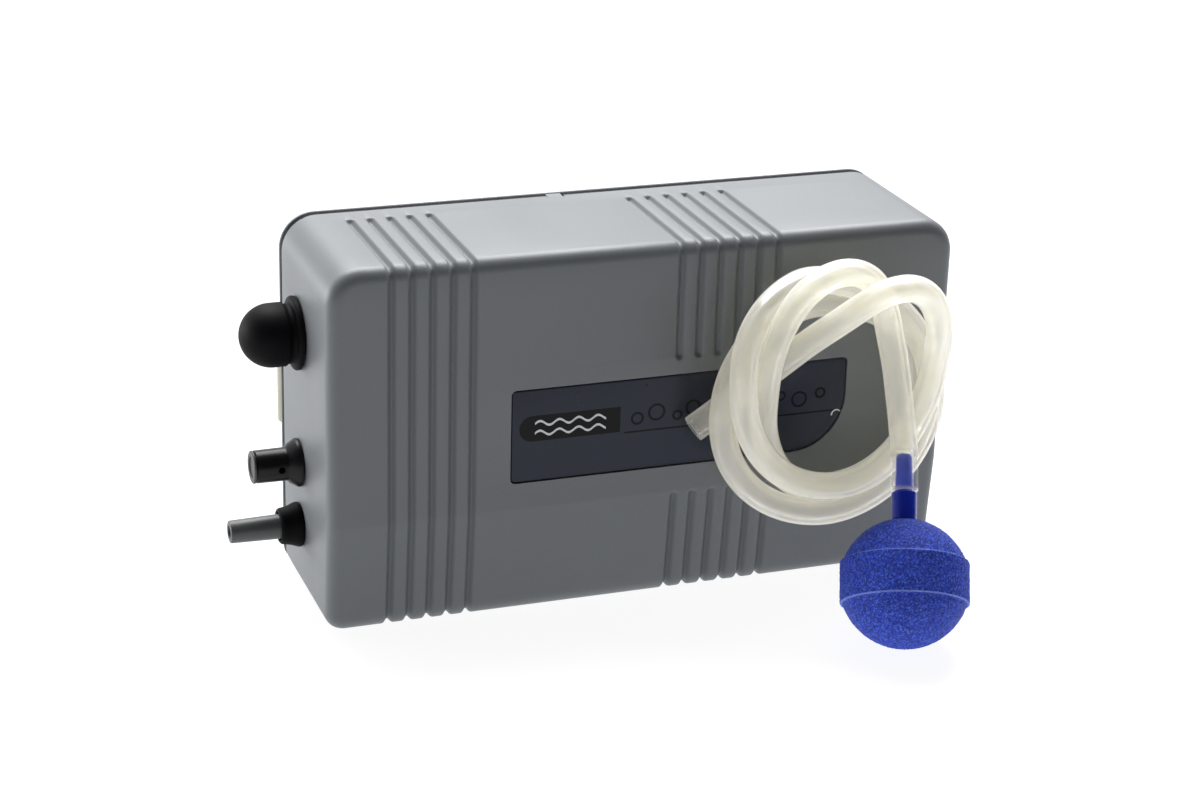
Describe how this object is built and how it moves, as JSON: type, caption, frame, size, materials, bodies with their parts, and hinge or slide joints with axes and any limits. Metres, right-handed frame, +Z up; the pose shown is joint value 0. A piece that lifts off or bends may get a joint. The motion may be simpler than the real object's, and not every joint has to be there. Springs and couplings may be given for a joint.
{
  "type": "air pump",
  "caption": "Grey battery air pump on its long side, with fittings on one end, a belt clip, a coiled airline tube and a round blue air stone.",
  "frame": {"origin": "on the standing surface, under the middle of the pump's bounding box; the airline and air stone are left out of that box", "axes": "+X along the case away from the end with the fittings, +Y from the grooved front towards the belt clip, +Z up with the pump on its long side"},
  "size_m": [0.1572, 0.0986, 0.082],
  "materials": {
    "case_grey": "satin moulded",
    "black_rubber": "matte",
    "black_plastic": "gloss",
    "light_grey": "satin",
    "label_navy": "printed film",
    "ivory": "satin",
    "steel": "brushed",
    "brass": "satin",
    "pump_white": "satin",
    "magnet_grey": "matte",
    "copper": "wound",
    "cell_sleeve": "gloss film",
    "felt": "felt",
    "clear_tube": "translucent flexible tube",
    "stone_blue": "gritty",
    "stem_blue": "moulded",
    "red_wire": "insulation",
    "black_wire": "insulation",
    "blue_wire": "insulation"
  },
  "bodies": {
    "pump": {"airline_coil": "clear_tube", "airline_lead": "clear_tube", "airline_tail": "clear_tube", "bridge_plate": "brass", "bridge_spring": "steel", "cell_lower": "cell_sleeve", "cell_upper": "cell_sleeve", "chassis_plate": "steel", "chassis_screw_1": "steel", "chassis_screw_2": "steel", "chassis_screw_3": "steel", "chassis_screw_4": "steel", "diaphragm": "black_rubber", "front_case": "case_grey", "head_cover": "pump_white", "head_screw_1": "steel", "head_screw_2": "steel", "inner_hose": "clear_tube", "intake_body": "black_plastic", "intake_cap": "light_grey", "intake_filter": "felt", "label_plate": "label_navy", "magnet_1": "magnet_grey", "magnet_2": "magnet_grey", "motor_can": "steel", "motor_end_cap": "black_plastic", "negative_contact": "brass", "negative_spring": "steel", "outlet_grommet": "black_rubber", "outlet_nozzle": "light_grey", "partition": "case_grey", "positive_contact": "brass", "stone_ball": "stone_blue", "stone_stem": "stem_blue", "switch_body": "black_plastic", "switch_boot": "black_rubber", "valve_body": "pump_white", "wire_black": "black_wire", "wire_blue": "blue_wire", "wire_red": "red_wire"},
    "plunger": {"switch_plunger": "pump_white"},
    "cover": {"rear_cover": "case_grey", "cover_seal": "black_rubber", "clip_base": "ivory", "clip_screw_1": "steel", "clip_screw_2": "steel"},
    "clip": {"clip_blade": "ivory"},
    "crank": {"rotor": "copper", "eccentric": "brass"},
    "rod": {"connecting_rod": "pump_white"},
    "outlet_valve": {"outlet_flap": "black_rubber"},
    "inlet_valve": {"inlet_flap": "black_rubber"}
  },
  "joints": [
    {"name": "switch_press", "type": "slide", "parent": "pump", "child": "plunger", "axis": [1, 0, 0], "range_m": [0, 0.0025], "stiffness_N_per_m": 400, "deforming": ["switch_boot"]},
    {"name": "cover_lift", "type": "slide", "parent": "pump", "child": "cover", "axis": [0, 1, 0], "range_m": [0, 0.045]},
    {"name": "clip_flex", "type": "hinge", "parent": "cover", "child": "clip", "pos_m": [-0.0595, 0.0191, 0.041], "axis": [0, 0, 1], "range_deg": [0, 10], "stiffness_Nm_per_rad": 0.6},
    {"name": "motor_spin", "type": "hinge", "parent": "pump", "child": "crank", "pos_m": [-0.0168, 0.0077, 0.03], "axis": [0, 1, 0], "continuous": true},
    {"name": "rod_stroke", "type": "slide", "parent": "pump", "child": "rod", "axis": [0, 0, 1], "range_m": [-0.0009, 0.0009], "deforming": ["diaphragm"]},
    {"name": "outlet_valve_lift", "type": "hinge", "parent": "pump", "child": "outlet_valve", "pos_m": [-0.02128, 0.0077, 0.06175], "axis": [0, -1, 0], "range_deg": [0, 20], "stiffness_Nm_per_rad": 0.0005},
    {"name": "inlet_valve_drop", "type": "hinge", "parent": "pump", "child": "inlet_valve", "pos_m": [-0.01232, 0.0077, 0.05765], "axis": [0, -1, 0], "range_deg": [0, 20], "stiffness_Nm_per_rad": 0.0005}
  ]
}
